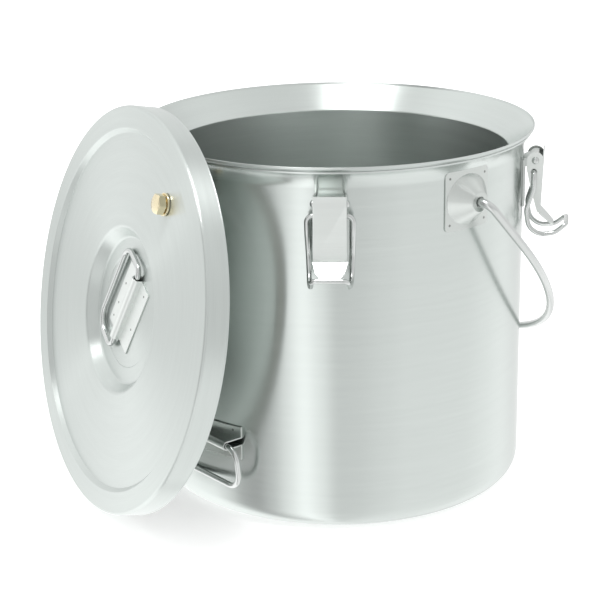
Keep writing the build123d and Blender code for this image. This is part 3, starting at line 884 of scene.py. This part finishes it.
class CONTAINER_OT_lid_handle(bpy.types.Operator):
    """Folding handle in the lid's recess and its welded bracket"""

    bl_idname = "container.lid_handle"
    bl_label = "Lid Handle"

    def execute(self, context):
        # Its finish has the bracket's tone, painted lighter to stand in for light on it.
        piece = dress("lid_handle_bracket", "lid_bracket", finish("Welded plate"))
        s = context.scene.fitting_sizes
        place = lid_place() @ Matrix.Rotation(s.lid_turn, 4, "Z")
        places = [place @ Matrix.Translation((x, y, s.lid_plate)) for x, y in LID_MARKS]
        weld_marks("lid_welds", places, "lid")
        piece = dress("lid_handle_loop", "lid_wire", finish("Drawn wire"), edge=0)
        return {"FINISHED"}


# Name of the finished piece for each brass part of the valve.
VALVE_PIECES = {
    "valve_body": "valve_stem",
    "valve_nut": "valve_hex_nut",
    "valve_cap": "valve_hex_cap",
}


class CONTAINER_OT_valve(bpy.types.Operator):
    """Brass vent valve with its cap, seal and nut"""

    bl_idname = "container.valve"
    bl_label = "Vent Valve"

    def execute(self, context):
        edge = context.scene.fitting_sizes.valve_edge
        for node, name in VALVE_PIECES.items():
            piece = dress(node, name, finish("Turned brass"), edge, segments=3)
        piece = dress("valve_seal", "valve_washer", finish("Food rubber"), edge=0)
        return {"FINISHED"}


class CONTAINER_OT_insulation(bpy.types.Operator):
    """Rigid foam between the sheets"""

    bl_idname = "container.insulation"
    bl_label = "Insulation"

    def execute(self, context):
        for node in ("vessel_insulation", "lid_insulation"):
            materials = frame["nodes"][node].data.materials
            materials.clear()
            materials.append(finish("Rigid foam"))
        return {"FINISHED"}


# ---- studio -------------------------------------------------------------------------------
# Level of the light round the container, as (azimuth in degrees, level).
STUDIO_BANDS = (
    (-180, 1.25),
    (-165, 1.22),
    (-150, 1.35),
    (-128, 1.30),
    (-114, 0.95),
    (-104, 0.55),
    (-93, 0.50),
    (-83, 0.75),
    (-72, 1.12),
    (-62, 1.42),
    (-51, 1.15),
    (-41, 0.83),
    (-30, 0.86),
    (-10, 0.96),
    (2, 1.02),
    (44, 1.03),
    (65, 1.11),
    (75, 1.16),
    (85, 1.16),
    (95, 1.06),
    (106, 0.96),
    (116, 0.92),
    (126, 1.07),
    (145, 1.15),
    (165, 1.22),
    (180, 1.25),
)
# Gain on that level from straight down to straight up, as (sine of the elevation, gain).
STUDIO_HEIGHTS = (
    (-1.0, 1.20),
    (-0.5, 1.17),
    (-0.34, 1.10),
    (-0.09, 0.88),
    (0.26, 0.86),
    (0.70, 0.94),
    (1.0, 0.90),
)
# A colour ramp holds levels up to 1, so these stand for its white.
BANDS_FULL = 1.5
HEIGHTS_FULL = 1.2
# Strength of the floor's own glow, which only the eye and reflections see.
FLOOR_GLOW = 0.45
FLOOR_STEPS = 96
LAMP_PLACE = Vector((0.27, -0.84, 2.8))
# Where the camera stands, and which way its right, its up and its back point.
CAMERA_PLACE = Vector((1.355310, -1.153459, 0.7566))
CAMERA_RIGHT = Vector((0.634425, 0.772876, -0.012928))
CAMERA_UP = Vector((-0.232059, 0.206389, 0.950553))
CAMERA_BACK = Vector((0.737328, -0.600055, 0.310292))


def level_ramp(tree, place, stops, full):
    """Colour ramp through (position, level) stops, whose white is the full level."""
    ramp = add_node(tree, "ShaderNodeValToRGB", {"Fac": place})
    made = ramp.color_ramp.elements
    ramp.color_ramp.interpolation = "EASE"
    for index, (position, level) in enumerate(stops):
        # A new ramp already has two stops.
        stop = made[index] if index < 2 else made.new(position)
        stop.position = position
        grey = level / full
        stop.color = (grey, grey, grey, 1.0)
    return ramp.outputs["Color"]


def studio_world():
    """White to the eye; soft upright bands of light for the metal to show."""
    world = bpy.data.worlds.new("Studio")
    bpy.context.scene.world = world
    world.use_nodes = True
    tree = world.node_tree
    tree.nodes.clear()
    way = add_node(tree, "ShaderNodeTexCoord").outputs["Generated"]
    parts = add_node(tree, "ShaderNodeSeparateXYZ", {"Vector": way}).outputs
    angle = calc(tree, "ARCTAN2", parts["Y"], parts["X"])
    turn = calc(tree, "ADD", calc(tree, "DIVIDE", angle, 2 * math.pi), 0.5)
    round_stops = [((azimuth + 180) / 360, level) for azimuth, level in STUDIO_BANDS]
    around = level_ramp(tree, turn, round_stops, BANDS_FULL)
    rise = calc(tree, "ADD", calc(tree, "MULTIPLY", parts["Z"], 0.5), 0.5)
    height_stops = [((z + 1) / 2, gain) for z, gain in STUDIO_HEIGHTS]
    upright = level_ramp(tree, rise, height_stops, HEIGHTS_FULL)
    both = calc(tree, "MULTIPLY", around, upright)
    light = calc(tree, "MULTIPLY", both, BANDS_FULL * HEIGHTS_FULL)
    camera_ray = add_node(tree, "ShaderNodeLightPath").outputs["Is Camera Ray"]
    plain = {"Color": (1, 1, 1, 1), "Strength": 1.0}
    bands = add_node(tree, "ShaderNodeBackground", {"Strength": light}, plain)
    white = add_node(tree, "ShaderNodeBackground", values=plain)
    links = {"Fac": camera_ray, 1: bands.outputs["Background"], 2: white.outputs["Background"]}
    mixed = add_node(tree, "ShaderNodeMixShader", links)
    add_node(tree, "ShaderNodeOutputWorld", {"Surface": mixed.outputs["Shader"]})


def floor_material():
    """White floor that keeps the shadow and shows as white to the eye and in reflections."""
    material, tree, shader = new_material("Studio floor")
    look = bpy.context.scene.container_finish
    place = add_node(tree, "ShaderNodeTexCoord").outputs["Object"]
    gain = around_one(tree, noise(tree, place, 2.0), 0.01)
    values = {0: look.floor}
    scaled = add_node(tree, "ShaderNodeVectorMath", {"Scale": gain}, values, operation="SCALE")
    tree.links.new(scaled.outputs["Vector"], shader.inputs["Base Color"])
    shader.inputs["Roughness"].default_value = look.floor_roughness
    shader.inputs["Specular IOR Level"].default_value = 0.0
    light = add_node(tree, "ShaderNodeLightPath").outputs
    seen = calc(tree, "MAXIMUM", light["Is Camera Ray"], light["Is Glossy Ray"])
    seen = calc(tree, "MAXIMUM", seen, light["Is Transmission Ray"])
    strength = calc(tree, "MULTIPLY", seen, FLOOR_GLOW)
    glow = add_node(tree, "ShaderNodeEmission", {"Strength": strength})
    links = {0: shader.outputs["BSDF"], 1: glow.outputs["Emission"]}
    both = add_node(tree, "ShaderNodeAddShader", links)
    tree.links.new(both.outputs["Shader"], tree.nodes["Material Output"].inputs["Surface"])
    return material


class CONTAINER_OT_stage(bpy.types.Operator):
    """Floor, light and camera"""

    bl_idname = "container.stage"
    bl_label = "Stage"

    def execute(self, context):
        scene = context.scene
        s = scene.container_stage
        bm = bmesh.new()
        bmesh.ops.create_circle(bm, cap_ends=True, segments=FLOOR_STEPS, radius=s.floor_radius)
        bmesh.ops.translate(bm, verts=bm.verts[:], vec=(0, 0, -s.floor_drop))
        mesh = bpy.data.meshes.new("floor")
        bm.to_mesh(mesh)
        bm.free()
        mesh.materials.append(floor_material())
        floor = bpy.data.objects.new("floor", mesh)
        scene.collection.objects.link(floor)
        floor.visible_glossy = False
        studio_world()
        lamp = bpy.data.lights.new("Softbox", "AREA")
        lamp.size = s.lamp_size
        lamp.energy = s.lamp_power
        softbox = bpy.data.objects.new("Softbox", lamp)
        softbox.location = LAMP_PLACE
        softbox.rotation_euler = (-LAMP_PLACE).to_track_quat("-Z", "Y").to_euler()
        scene.collection.objects.link(softbox)
        lens = bpy.data.cameras.new("Camera")
        lens.lens = s.focal_length
        lens.sensor_width = s.sensor_width
        camera = bpy.data.objects.new("Camera", lens)
        turn = Matrix((CAMERA_RIGHT, CAMERA_UP, CAMERA_BACK)).transposed().to_4x4()
        camera.matrix_world = Matrix.Translation(CAMERA_PLACE) @ turn
        scene.collection.objects.link(camera)
        scene.camera = camera
        scene.view_settings.view_transform = "Standard"
        return {"FINISHED"}


SETTINGS = {
    "container_sizes": ContainerSizes,
    "lid_sizes": LidSizes,
    "fitting_sizes": FittingSizes,
    "container_finish": FinishSettings,
    "container_stage": StageSettings,
}

OPERATORS = (
    CONTAINER_OT_stage,
    CONTAINER_OT_wall,
    CONTAINER_OT_ears,
    CONTAINER_OT_latches,
    CONTAINER_OT_tip_handle,
    CONTAINER_OT_lid,
    CONTAINER_OT_lid_handle,
    CONTAINER_OT_valve,
    CONTAINER_OT_insulation,
)


class CONTAINER_PT_sidebar(bpy.types.Panel):
    """Lists the pieces of the container"""

    bl_idname = "CONTAINER_PT_sidebar"
    bl_label = "Insulated Food Container"
    bl_space_type = "VIEW_3D"
    bl_region_type = "UI"
    bl_category = "Container"

    def draw(self, context):
        for operator in OPERATORS:
            self.layout.operator(operator.bl_idname)
        for group, kind in SETTINGS.items():
            box = self.layout.box()
            for name in kind.__annotations__:
                box.prop(getattr(context.scene, group), name)


CLASSES = (*SETTINGS.values(), *OPERATORS, CONTAINER_PT_sidebar)


def register():
    for item in CLASSES:
        bpy.utils.register_class(item)
    for group, kind in SETTINGS.items():
        setattr(bpy.types.Scene, group, PointerProperty(type=kind))


def unregister():
    for group in SETTINGS:
        delattr(bpy.types.Scene, group)
    for item in reversed(CLASSES):
        bpy.utils.unregister_class(item)


def main():
    register()
    for operator in OPERATORS:
        name = operator.bl_idname.split(".")[1]
        getattr(bpy.ops.container, name)()


if __name__ == "__main__":
    main()
